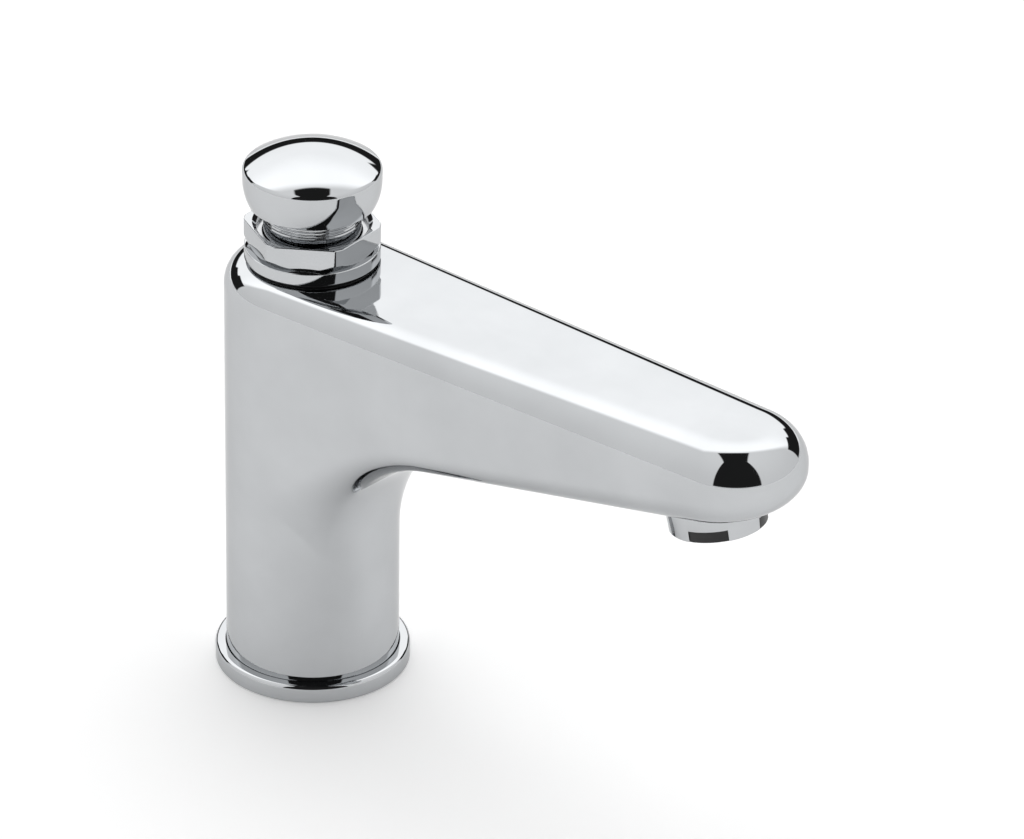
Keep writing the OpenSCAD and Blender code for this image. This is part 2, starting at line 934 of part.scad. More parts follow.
// Plastic flow former in the aerator's mouth, with a lug in each notch of the ring
module aerator_insert() {
  lug_r = aerator_d / 2 - aerator_taper - lug_recess;
  color("dimgray")
    at_outlet()
      union() {
        translate([0, 0, aerator_h - insert_up - insert_t])
          difference() {
            cylinder(r = aerator_bore_r - fit, h = insert_t);
            hole_rings(insert_hole, insert_pitch, 3, insert_t);
          }
        intersection() {
          notch_blocks(fit);
          cylinder(r = lug_r, h = aerator_h - lug_recess);
        }
      }
}

// Fine filter disc over the flow former
module aerator_screen() {
  color("lightgray")
    at_outlet()
      translate([0, 0, aerator_h - insert_up - insert_t - screen_t])
        difference() {
          cylinder(r = aerator_bore_r - fit, h = screen_t);
          hole_rings(screen_hole, screen_pitch, 5, screen_t);
        }
}

body_casting();
base_ring();
base_gasket();
base_plug();
plug_o_ring();
inlet_strainer();
flow_regulator();
valve_seat();
seat_o_ring();
cartridge_cylinder();
cartridge_o_ring();
cartridge_cap();
headwork_nut();
headwork_seal();
guide_bush();
stem_wiper();
circlip();
return_spring();
push_button();
button_sleeve();
stem_lock_nut();
spindle();
timing_piston();
piston_lip_seal();
piston_clip();
valve_disc_holder();
valve_washer();
washer_nut();
aerator_housing();
aerator_washer();
aerator_insert();
aerator_screen();
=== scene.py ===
"""Looks of a push timed basin tap: a chromed column and spout under a domed push button.

Lengths in the classes are millimetres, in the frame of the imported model: the origin on the deck under the
column, +Z up, the spout along +X. Meshes are handed to Blender in metres.
"""

import json
import logging
import math
from dataclasses import dataclass, field
from enum import Enum
from typing import Any, Sequence

import bmesh
import bpy
import numpy as np
from mathutils import Matrix, Vector


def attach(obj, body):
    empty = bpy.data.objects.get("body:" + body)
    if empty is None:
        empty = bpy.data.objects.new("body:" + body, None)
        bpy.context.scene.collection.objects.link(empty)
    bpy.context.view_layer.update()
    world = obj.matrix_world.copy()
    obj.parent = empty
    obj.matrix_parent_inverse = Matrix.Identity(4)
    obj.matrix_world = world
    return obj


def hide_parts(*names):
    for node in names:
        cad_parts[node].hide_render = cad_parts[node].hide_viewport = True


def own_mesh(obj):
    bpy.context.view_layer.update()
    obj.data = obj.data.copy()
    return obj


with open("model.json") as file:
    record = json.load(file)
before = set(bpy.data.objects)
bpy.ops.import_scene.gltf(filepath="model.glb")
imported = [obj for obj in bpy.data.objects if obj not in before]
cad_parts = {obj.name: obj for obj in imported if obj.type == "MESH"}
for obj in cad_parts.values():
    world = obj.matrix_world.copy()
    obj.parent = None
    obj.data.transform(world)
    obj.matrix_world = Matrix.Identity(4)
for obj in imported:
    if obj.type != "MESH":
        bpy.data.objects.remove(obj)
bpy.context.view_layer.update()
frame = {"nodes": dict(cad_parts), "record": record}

LOG = logging.getLogger("tap")
MM = 0.001
SEGMENTS = 192
SHARP_ANGLE = math.radians(32)
WELD = 1e-6

Solid = tuple[np.ndarray, list[tuple[int, ...]]]


class Carrier(Enum):
    """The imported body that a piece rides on."""

    FIXED = "tap_body"
    MOVING = "plunger"


class Slot(Enum):
    """The record's material slots."""

    CHROME = "chrome"
    BRASS = "brass"
    RUBBER = "rubber"
    STEEL = "steel"
    WHITE_PLASTIC = "white_plastic"
    BLACK_PLASTIC = "black_plastic"
    GREEN_PLASTIC = "green_plastic"


class Relief(Enum):
    """How the fine relief of a surface lies."""

    CLOUD = "cloud"
    TURNED = "turned"
    GRAIN = "grain"


def linear(colour: str) -> tuple[float, float, float, float]:
    """Turns an sRGB hex colour to linear light.

    Args:
        colour: six hex digits after a hash sign.

    Returns:
        Red, green, blue and an alpha of 1.
    """
    channels = [int(colour[i:i + 2], 16) / 255 for i in (1, 3, 5)]
    lit = [c / 12.92 if c <= 0.04045 else ((c + 0.055) / 1.055) ** 2.4 for c in channels]
    return (*lit, 1.0)


def add_node(tree: bpy.types.NodeTree, kind: str, inputs: dict[Any, Any], **settings: Any) -> bpy.types.Node:
    """Adds a node with its settings and links.

    Args:
        tree: the node tree that takes the node.
        kind: Blender's name of the node's type.
        inputs: a value or another node's output for each input, by name or number.
        **settings: properties of the node itself.

    Returns:
        The new node.
    """
    node = tree.nodes.new(kind)
    for name, value in settings.items():
        setattr(node, name, value)
    for socket, value in inputs.items():
        if isinstance(value, bpy.types.NodeSocket):
            tree.links.new(value, node.inputs[socket])
        else:
            node.inputs[socket].default_value = value
    return node


def cycles_per_metre(size_mm: float) -> float:
    """Gives a noise texture's scale for features of a size in millimetres."""
    return 1 / (size_mm * MM)


def waves_per_metre(pitch_mm: float) -> float:
    """Gives a wave texture's scale for a pitch in millimetres; its bands repeat every pi / 10 units."""
    return math.pi / 10 / (pitch_mm * MM)


@dataclass(frozen=True)
class Finish:
    """A surface as its making leaves it: two tones, a spread of roughness and a fine relief."""

    name: str
    light: str
    dark: str
    metallic: float
    roughness: tuple[float, float]
    mottle_mm: float
    relief: Relief
    relief_mm: float
    height_mm: float
    ior: float | None = None
    rim: str = "#FFFFFF"

    def material(self) -> bpy.types.Material:
        """Gives the finish's material, made the first time that it is asked for."""
        found = bpy.data.materials.get(self.name)
        return found if found else self._make()

    def _make(self) -> bpy.types.Material:
        """Builds the node tree of the finish.

        Returns:
            The new material.
        """
        material = bpy.data.materials.new(self.name)
        material.use_nodes = True
        tree = material.node_tree
        tree.nodes.clear()
        place = add_node(tree, "ShaderNodeTexCoord", {}).outputs["Object"]
        mottle = add_node(tree, "ShaderNodeTexNoise", {
            "Vector": place, "Scale": cycles_per_metre(self.mottle_mm), "Detail": 3.0, "Roughness": 0.55})
        tone = add_node(tree, "ShaderNodeValToRGB", {"Fac": mottle.outputs["Fac"]})
        tone.color_ramp.elements[0].color = linear(self.dark)
        tone.color_ramp.elements[1].color = linear(self.light)
        tone.color_ramp.elements[0].position, tone.color_ramp.elements[1].position = 0.3, 0.7
        gloss = add_node(tree, "ShaderNodeMapRange", {
            "Value": mottle.outputs["Fac"], "From Min": 0.3, "From Max": 0.7,
            "To Min": self.roughness[0], "To Max": self.roughness[1]})
        bump = add_node(tree, "ShaderNodeBump", {
            "Height": self._height(tree, place), "Strength": 1.0, "Distance": self.height_mm * MM})
        shader = add_node(tree, "ShaderNodeBsdfPrincipled", {
            "Base Color": tone.outputs["Color"], "Metallic": self.metallic,
            "Roughness": gloss.outputs["Result"], "Normal": bump.outputs["Normal"],
            "Specular Tint": linear(self.rim)})
        if self.ior is not None:
            shader.inputs["IOR"].default_value = self.ior
        add_node(tree, "ShaderNodeOutputMaterial", {"Surface": shader.outputs["BSDF"]})
        return material

    def _height(self, tree: bpy.types.NodeTree, place: bpy.types.NodeSocket) -> bpy.types.NodeSocket:
        """Builds the relief's height: clouds, grain, or lines turned about the column's axis.

        Args:
            tree: the material's node tree.
            place: the output that gives the place on the piece, in metres.

        Returns:
            The output that carries the height, from 0 to 1.
        """
        if self.relief is not Relief.TURNED:
            detail = 1.0 if self.relief is Relief.CLOUD else 4.0
            return add_node(tree, "ShaderNodeTexNoise", {
                "Vector": place, "Scale": cycles_per_metre(self.relief_mm), "Detail": detail}).outputs["Fac"]
        lines = {"Vector": place, "Scale": waves_per_metre(self.relief_mm), "Distortion": 0.4, "Detail": 2.0}
        bands = add_node(tree, "ShaderNodeTexWave", lines, wave_type="BANDS", bands_direction="Z")
        rings = add_node(tree, "ShaderNodeTexWave", lines, wave_type="RINGS", rings_direction="Z")
        both = {0: bands.outputs["Fac"], 1: rings.outputs["Fac"]}
        return add_node(tree, "ShaderNodeMath", both, operation="MULTIPLY").outputs[0]


# Bright chromium over polished brass: a mirror, a little darker than silver. The waviness that polishing
# leaves in a casting bends the reflections slightly, and faint clouds dull the gloss here and there. Seen
# almost along the surface, chromium stays darker than most metals, which the rim's tone gives.
CHROME_CAST = Finish("chrome_plate_on_polished_casting", "#BEC0C2", "#B8BABC", 1.0, (0.02, 0.045),
                     22.0, Relief.CLOUD, 26.0, 0.012, rim="#E2E2E2")
# The same plate over turned brass: reflections are drawn out along the lathe's marks. The marks, 0.1 mm
# apart on the real piece, are drawn 0.35 mm apart so that they show.
CHROME_TURNED = Finish("chrome_plate_on_turned_brass", "#BEC0C2", "#B8BABC", 1.0, (0.02, 0.05),
                       12.0, Relief.TURNED, 0.35, 0.0006, rim="#E2E2E2")
# Free-cutting brass from the lathe: warm yellow metal with fine rings, tarnished in clouds.
BRASS_TURNED = Finish("turned_free_cutting_brass", "#D8BA78", "#B8934E", 1.0, (0.2, 0.34),
                      6.0, Relief.TURNED, 0.4, 0.004)
# Moulded nitrile rubber: near black, dull, with the mould's fine grain.
RUBBER_MOULDED = Finish("moulded_nitrile_rubber", "#232324", "#171718", 0.0, (0.5, 0.66),
                        3.0, Relief.GRAIN, 0.5, 0.02, 1.52)
# Stainless spring steel, drawn and tumbled: cool grey metal with a satin gloss.
STEEL_DRAWN = Finish("drawn_stainless_spring_steel", "#C4C5C6", "#A9ABAD", 1.0, (0.16, 0.28),
                     4.0, Relief.GRAIN, 0.4, 0.004)
# Natural acetal, turned from bar: milky white and slippery.
ACETAL_WHITE = Finish("turned_natural_acetal", "#ECEBE4", "#E0DFD6", 0.0, (0.3, 0.42),
                      8.0, Relief.TURNED, 0.4, 0.004, 1.48)
# Moulded black acetal: deep black with a satin skin.
ACETAL_BLACK = Finish("moulded_black_acetal", "#161617", "#0E0E0F", 0.0, (0.34, 0.46),
                      5.0, Relief.GRAIN, 0.6, 0.006, 1.48)
# Moulded green acetal, the colour code of a flow regulator.
ACETAL_GREEN = Finish("moulded_green_acetal", "#4E9A78", "#418667", 0.0, (0.34, 0.46),
                      5.0, Relief.GRAIN, 0.6, 0.006, 1.48)

FINISH_OF_SLOT: dict[Slot, Finish] = {
    Slot.CHROME: CHROME_CAST, Slot.BRASS: BRASS_TURNED, Slot.RUBBER: RUBBER_MOULDED, Slot.STEEL: STEEL_DRAWN,
    Slot.WHITE_PLASTIC: ACETAL_WHITE, Slot.BLACK_PLASTIC: ACETAL_BLACK, Slot.GREEN_PLASTIC: ACETAL_GREEN,
}


def rounded(corners: Sequence[tuple[float, float, float]], steps: int = 8) -> np.ndarray:
    """Rounds the corners of a section with true arcs.

    Args:
        corners: distance from the axis, height and rounding radius of each corner of a closed section.
        steps: straight pieces in each arc.

    Returns:
        The section's points, two columns.
    """
    made: list[np.ndarray] = []
    count = len(corners)
    for i, (r, z, radius) in enumerate(corners):
        here = np.array([r, z])
        if radius <= 0:
            made.append(here)
            continue
        before = np.array(corners[i - 1][:2]) - here
        after = np.array(corners[(i + 1) % count][:2]) - here
        before, after = before / np.linalg.norm(before), after / np.linalg.norm(after)
        half = math.acos(max(-1.0, min(1.0, float(before @ after)))) / 2
        middle = (before + after) / np.linalg.norm(before + after)
        centre = here + middle * radius / math.sin(half)
        first = here + before * radius / math.tan(half) - centre
        last = here + after * radius / math.tan(half) - centre
        sweep = math.atan2(first[0] * last[1] - first[1] * last[0], float(first @ last))
        for share in np.linspace(0, 1, steps + 1):
            turn = sweep * share
            spin = np.array([[math.cos(turn), -math.sin(turn)], [math.sin(turn), math.cos(turn)]])
            made.append(centre + spin @ first)
    return np.array(made)


def arc(centre: tuple[float, float], radius: float, first: float, last: float,
        steps: int) -> list[tuple[float, float]]:
    """Gives points along an arc of a section.

    Args:
        centre: the arc's centre, distance from the axis and height.
        radius: its radius.
        first: angle of its first point in radians, 0 pointing away from the axis.
        last: angle of its last point.
        steps: straight pieces in the arc.

    Returns:
        The arc's points.
    """
    turns = np.linspace(first, last, steps + 1)
    return [(centre[0] + radius * math.cos(t), centre[1] + radius * math.sin(t)) for t in turns]


def strip_faces(rings: int, n: int, closed: bool = False) -> list[tuple[int, ...]]:
    """Gives the faces between neighbouring rings of points.

    Args:
        rings: count of rings.
        n: points in each ring.
        closed: whether the last ring joins the first.

    Returns:
        The faces.
    """
    faces: list[tuple[int, ...]] = []
    for i in range(rings if closed else rings - 1):
        j = (i + 1) % rings
        faces += [(i * n + k, i * n + (k + 1) % n, j * n + (k + 1) % n, j * n + k) for k in range(n)]
    return faces


def lathe(section: np.ndarray, segments: int = SEGMENTS, gap: float = 0.0) -> Solid:
    """Turns a closed section about +Z.

    Args:
        section: the section's points, or one row of points for each angle.
        segments: count of angles.
        gap: angle in radians that a split ring leaves open, about -X.

    Returns:
        The solid's points and faces.
    """
    whole = gap == 0
    angles = np.linspace(-math.pi + gap / 2, math.pi - gap / 2, segments, endpoint=not whole)
    rows = np.broadcast_to(section, (segments, *section.shape[-2:]))
    r, z = rows[..., 0], rows[..., 1]
    points = np.stack([r * np.cos(angles)[:, None], r * np.sin(angles)[:, None], z], -1)
    n = rows.shape[1]
    faces = strip_faces(segments, n, whole)
    if not whole:
        faces += [tuple(range(n)), tuple(range((segments - 1) * n, segments * n))]
    return points.reshape(-1, 3), faces


def placed(solid: Solid, matrix: Matrix) -> Solid:
    """Moves a solid's points by a matrix in millimetres."""
    turn = np.array(matrix)
    return solid[0] @ turn[:3, :3].T + turn[:3, 3], solid[1]


def mesh_object(name: str, solid: Solid) -> bpy.types.Object:
    """Makes a closed mesh with its faces outwards.

    Args:
        name: the object's name.
        solid: points in millimetres, and faces.

    Returns:
        The object, linked to the scene.
    """
    mesh = bpy.data.meshes.new(name)
    mesh.from_pydata((solid[0] * MM).tolist(), [], solid[1])
    made = bmesh.new()
    made.from_mesh(mesh)
    bmesh.ops.remove_doubles(made, verts=made.verts, dist=WELD)
    bmesh.ops.dissolve_degenerate(made, edges=made.edges, dist=WELD)
    bmesh.ops.recalc_face_normals(made, faces=made.faces)
    made.to_mesh(mesh)
    made.free()
    thing = bpy.data.objects.new(name, mesh)
    bpy.context.scene.collection.objects.link(thing)
    return thing


def settle(thing: bpy.types.Object) -> None:
    """Applies an object's modifiers to its mesh."""
    bpy.context.view_layer.update()
    result = thing.evaluated_get(bpy.context.evaluated_depsgraph_get())
    mesh = bpy.data.meshes.new_from_object(result)
    thing.modifiers.clear()
    thing.data = mesh


def combine(thing: bpy.types.Object, tool: bpy.types.Object, operation: str) -> None:
    """Joins a tool to an object or cuts it out, and removes the tool.

    Args:
        thing: the object that changes.
        tool: the object that is joined or cut out.
        operation: Blender's name of the operation, UNION or DIFFERENCE.
    """
    boolean = thing.modifiers.new("combine", "BOOLEAN")
    boolean.operation, boolean.solver, boolean.object = operation, "EXACT", tool
    settle(thing)
    bpy.data.objects.remove(tool)


def smooth(thing: bpy.types.Object, angle: float = SHARP_ANGLE) -> None:
    """Shades a mesh smooth, apart from edges sharper than an angle in radians."""
    thing.data.shade_smooth()
    thing.data.set_sharp_from_angle(angle=angle)


def fit_piece(thing: bpy.types.Object, carrier: Carrier, slot: Slot, finish: Finish, *nodes: str) -> None:
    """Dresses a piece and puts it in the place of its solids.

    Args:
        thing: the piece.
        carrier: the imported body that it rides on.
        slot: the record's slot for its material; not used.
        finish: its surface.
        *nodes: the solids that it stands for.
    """
    thing.data.materials.clear()
    thing.data.materials.append(finish.material())
    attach(thing, carrier.value)
    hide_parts(*nodes)
    LOG.info("%s: %d faces on %s, %s", thing.name, len(thing.data.polygons), carrier.value, finish.name)


def rounded_edge(a: np.ndarray, b: np.ndarray, radius: Any) -> np.ndarray:
    """Joins two faces by an edge of a radius.

    Args:
        a: distances outside the first face.
        b: distances outside the second.
        radius: the edge's rounding.

    Returns:
        Distances outside both faces and their rounded edge.
    """
    past_a, past_b = a + radius, b + radius
    corner = np.hypot(np.maximum(past_a, 0), np.maximum(past_b, 0))
    return np.minimum(np.maximum(past_a, past_b), 0) + corner - radius


def rolled(a: np.ndarray, b: np.ndarray, lean: np.ndarray, radius: float) -> np.ndarray:
    """Joins two faces by the fillet that a ball leaves as it rolls along both.

    Args:
        a: distances outside the first face.
        b: distances outside the second.
        lean: the cosine of the angle between the directions in which they point.
        radius: the ball's radius.

    Returns:
        Distances outside both faces and their fillet.
    """
    to_a, to_b = radius - a, radius - b
    between = (to_a > lean * to_b) & (to_b > lean * to_a)
    apart = np.maximum(to_a ** 2 + to_b ** 2 - 2 * lean * to_a * to_b, 0) / (1 - lean ** 2)
    return np.where(between, radius - np.sqrt(apart), np.minimum(a, b))


@dataclass
class TapBody:
    """The casting: a column with a spout that is level on top, rises underneath and ends round."""

    column_r: float = 23.0
    top: float = 119.4
    reach: float = 136.5
    tip_r: float = 18.8
    root_depth: float = 48.3
    rise: float = math.radians(10.7)
    top_round: float = 7.0
    tip_round: float = 11.0
    under_round: float = 7.7
    root_fillet: float = 39.0
    column_cap: float = 100.0
    outlet_x: float = 131.3
    outlet_r: float = 12.0
    outlet_depth: float = 9.5
    waterway_r: float = 5.5
    waterway_z: float = 86.4
    core_wall: float = 5.0
    core_from: float = 21.0
    core_to: float = 112.5
    around: int = 232
    column_rings: int = 16
    root_rings: int = 96
    run_rings: int = 28
    nose_rings: int = 84
    nose_from: float = 100.0
    long_ray: float = 120.0
    halvings: int = 44
    skin: float = 0.02
    same_way: float = 0.9
    bores: tuple[tuple[float, float], ...] = (
        (0, -1), (18.1, -1), (18.1, 18), (12, 18), (12, 41.5), (14.3, 41.5), (14.3, 100.5), (16, 100.5),
        (16, 122), (0, 122))
    gasket_groove: tuple[tuple[float, float], ...] = ((19.45, -1), (21.65, -1), (21.65, 1.7), (19.45, 1.7))

    def underside(self, x: Any) -> Any:
        """Gives the height of the spout's sloping underside."""
        return self.top - self.root_depth + x * math.tan(self.rise)

    def outlet_matrix(self) -> Matrix:
        """Gives the outlet's place, its +Z pointing out of the underside."""
        turn = Matrix.Rotation(math.pi - self.rise, 4, "Y")
        return Matrix.Translation((self.outlet_x, 0, self.underside(self.outlet_x))) @ turn

    def plan(self, x: np.ndarray, y: np.ndarray) -> np.ndarray:
        """Gives the distance outside the outline that column and spout have from above.

        Args:
            x: places along the spout.
            y: places across it.

        Returns:
            The distances, below zero inside.
        """
        lean = (self.column_r - self.tip_r) / self.reach
        straight = math.sqrt(1 - lean * lean)
        y = np.abs(y)
        along = straight * x - lean * y
        side = straight * y + lean * x - self.column_r
        tip = np.hypot(x - self.reach, y) - self.tip_r
        past_column = np.where(along > straight * self.reach, tip, side)
        return np.where(along < 0, np.hypot(x, y) - self.column_r, past_column)

    def outside(self, points: np.ndarray) -> np.ndarray:
        """Gives how far points lie outside the casting.

        The spout's underside runs into the column by a large fillet, and the outline that the spout has from
        above trims both.

        Args:
            points: places in millimetres, three columns.

        Returns:
            The distances, below zero inside.
        """
        x, y, z = points[..., 0], points[..., 1], points[..., 2]
        plan = self.plan(x, y)
        reach = np.maximum(np.hypot(x, y), 1e-6)
        column = reach - self.column_r
        under = (self.underside(x) - z) * math.cos(self.rise)
        below = rolled(under, column, math.sin(self.rise) * x / reach, self.root_fillet)
        top_round = self.top_round + (self.tip_round - self.top_round) * np.clip(x / self.reach, 0, 1)
        upper = rounded_edge(plan, z - self.top, top_round)
        lower = rounded_edge(plan, below, self.under_round)
        return np.minimum(np.maximum(upper, lower), np.maximum(column, z - self.column_cap))

    def normals(self, points: np.ndarray) -> np.ndarray:
        """Gives the outward directions of the casting's surface.

        Args:
            points: places on the surface in millimetres.

        Returns:
            Unit directions.
        """
        step = 0.02
        slope = np.stack([
            self.outside(points + step * axis) - self.outside(points - step * axis)
            for axis in np.eye(3)], -1)
        return slope / np.linalg.norm(slope, axis=-1, keepdims=True)

    def sections(self) -> tuple[np.ndarray, np.ndarray]:
        """Lays planes along the casting: up the column, round its root fillet and out to the tip.

        Returns:
            A point inside each section, and the direction across it.
        """
        pivot_x = self.column_r + self.root_fillet
        touch_x = pivot_x - self.root_fillet * math.sin(self.rise)
        pivot_z = self.underside(touch_x) - self.root_fillet * math.cos(self.rise)
        inner = self.root_fillet + 1.0
        origins, ways = [], []
        for z in np.linspace(0, pivot_z, self.column_rings, endpoint=False):
            origins.append((0.0, 0.0, z))
            ways.append((-1.0, 0.0, 0.0))
        for turn in np.linspace(0, math.pi / 2, self.root_rings):
            way = (-math.cos(turn), 0.0, math.sin(turn))
            origins.append((pivot_x + inner * way[0], 0.0, pivot_z + inner * way[2]))
            ways.append(way)
        end = self.reach + self.tip_r
        straight = np.linspace(pivot_x, self.nose_from, self.run_rings)[1:]
        turns = np.linspace(0, math.pi / 2, self.nose_rings)[1:-1]
        nose = self.nose_from + (end - self.nose_from) * np.sin(turns)
        tip_z = self.top - self.tip_round - 0.1
        for x in (*straight, *nose):
            origins.append((x, 0.0, tip_z if x > self.reach else (self.underside(x) + self.top) / 2))
            ways.append((0.0, 0.0, 1.0))
        return np.array(origins), np.array(ways)

    def to_surface(self, start: np.ndarray, way: np.ndarray) -> np.ndarray:
        """Finds where rays from inside the casting come out.

        Args:
            start: the rays' first points.
            way: their directions, long enough to end outside.

        Returns:
            The share of each ray that lies inside.
        """
        low, high = np.zeros(start.shape[:-1]), np.ones(start.shape[:-1])
        for _ in range(self.halvings):
            middle = (low + high) / 2
            inside = self.outside(start + middle[..., None] * way) < 0
            low, high = np.where(inside, middle, low), np.where(inside, high, middle)
        return (low + high) / 2

    def outer_solid(self) -> Solid:
        """Builds the casting's outside as rings of points on its sections.

        Returns:
            The solid's points and faces.
        """
        origin, way = self.sections()
        far = self.to_surface(origin, self.long_ray * way) * self.long_ray
        near = self.to_surface(origin, -self.long_ray * way) * self.long_ray
        centre = origin + way * ((far - near) / 2)[:, None]
        across = np.broadcast_to(np.array([0.0, 1.0, 0.0]), way.shape)
        width = self.to_surface(centre, self.long_ray * across) * self.long_ray
        angles = np.linspace(0, 2 * math.pi, self.around, endpoint=False)
        rays = (((far + near) / 2)[:, None] * np.cos(angles))[..., None] * way[:, None]
        rays = 2 * (rays + (width[:, None] * np.sin(angles))[..., None] * across[:, None])
        start = np.broadcast_to(centre[:, None], rays.shape)
        rings = start + self.to_surface(start, rays)[..., None] * rays
        count, n = rings.shape[:2]
        foot, nose = count * n, count * n + 1
        tip = np.array([self.reach + self.tip_r, 0.0, centre[-1, 2]])
        points = np.concatenate([rings.reshape(-1, 3), [[0.0, 0.0, 0.0]], tip[None]])
        faces = strip_faces(count, n)
        last = (count - 1) * n
        faces += [((k + 1) % n, k, foot) for k in range(n)]
        faces += [(last + k, last + (k + 1) % n, nose) for k in range(n)]
        return points, faces

    def core_solid(self) -> Solid:
        """Gives the hollow that the core leaves inside the spout.

        Returns:
            The solid's points and faces.
        """
        points = []
        for x in (self.core_from, self.core_to):
            lean = (self.column_r - self.tip_r) / self.reach
            half = (self.column_r - self.core_wall - x * lean) / math.sqrt(1 - lean * lean)
            low, high = self.underside(x) + self.core_wall, self.top - self.core_wall
            points += [(x, -half, low), (x, half, low), (x, half, high), (x, -half, high)]
        faces = [(0, 1, 2, 3), (7, 6, 5, 4), (0, 4, 5, 1), (1, 5, 6, 2), (2, 6, 7, 3), (3, 7, 4, 0)]
        return np.array(points), faces

    def cutter(self) -> bpy.types.Object:
        """Builds all that is bored or cored out of the casting, as one object.

        Returns:
            The cutter.
        """
        tool = mesh_object("bores", lathe(np.array(self.bores)))
        outlet = self.outlet_matrix()
        mouth = ((0, -self.outlet_depth), (self.outlet_r, -self.outlet_depth),
                 (self.outlet_r, self.under_round), (0, self.under_round))
        bend = outlet @ Vector((0, 0, -self.outlet_depth + 1))
        start = Vector((0, 0, self.waterway_z))
        run = bend - start
        pipe = ((0, 0), (self.waterway_r, 0), (self.waterway_r, run.length), (0, run.length))
        along = Matrix.Translation(start) @ run.to_track_quat("Z", "Y").to_matrix().to_4x4()
        parts = [
            self.core_solid(), placed(lathe(np.array(pipe), 48), along),
            placed(lathe(np.array(mouth)), outlet), lathe(np.array(self.gasket_groove))]
        for i, part in enumerate(parts):
            combine(tool, mesh_object(f"bore_{i}", part), "UNION")
        return tool

    def build(self) -> bpy.types.Object:
        """Builds the bored casting, its outside shaded by the true surface.

        Returns:
            The piece.
        """
        shell = mesh_object("body_shell", self.outer_solid())
        combine(shell, self.cutter(), "DIFFERENCE")
        smooth(shell)
        mesh = shell.data
        points = np.zeros(len(mesh.vertices) * 3)
        mesh.vertices.foreach_get("co", points)
        points = points.reshape(-1, 3) / MM
        loop_vertex = np.zeros(len(mesh.loops), int)
        mesh.loops.foreach_get("vertex_index", loop_vertex)
        shaded = np.zeros(len(mesh.loops) * 3)
        mesh.corner_normals.foreach_get("vector", shaded)
        shaded = shaded.reshape(-1, 3)
        true = self.normals(points)[loop_vertex]
        on_skin = (np.abs(self.outside(points)) < self.skin)[loop_vertex]
        facing = np.einsum("ij,ij->i", shaded, true) > self.same_way
        outer = on_skin & facing
        shaded[outer] = true[outer]
        mesh.normals_split_custom_set(shaded.tolist())
        return shell

    def dress(self) -> None:
        """Puts the casting in the place of its solid."""
        fit_piece(self.build(), Carrier.FIXED, Slot.CHROME, CHROME_CAST, "body_casting")


@dataclass
class FootRing:
    """The trim ring round the column's foot."""

    inner_r: float = 23.1
    outer_r: float = 25.95
    height: float = 4.8
    edge: float = 1.2
    small_edge: float = 0.25

    def dress(self) -> None:
        """Builds the ring and puts it in the place of its solid."""
        section = rounded([
            (self.inner_r, 0, 0), (self.outer_r, 0, self.small_edge), (self.outer_r, self.height, self.edge),
            (self.inner_r, self.height, self.small_edge)], 12)
        ring = mesh_object("foot_ring", lathe(section, 256))
        smooth(ring)
        fit_piece(ring, Carrier.FIXED, Slot.CHROME, CHROME_CAST, "base_ring")


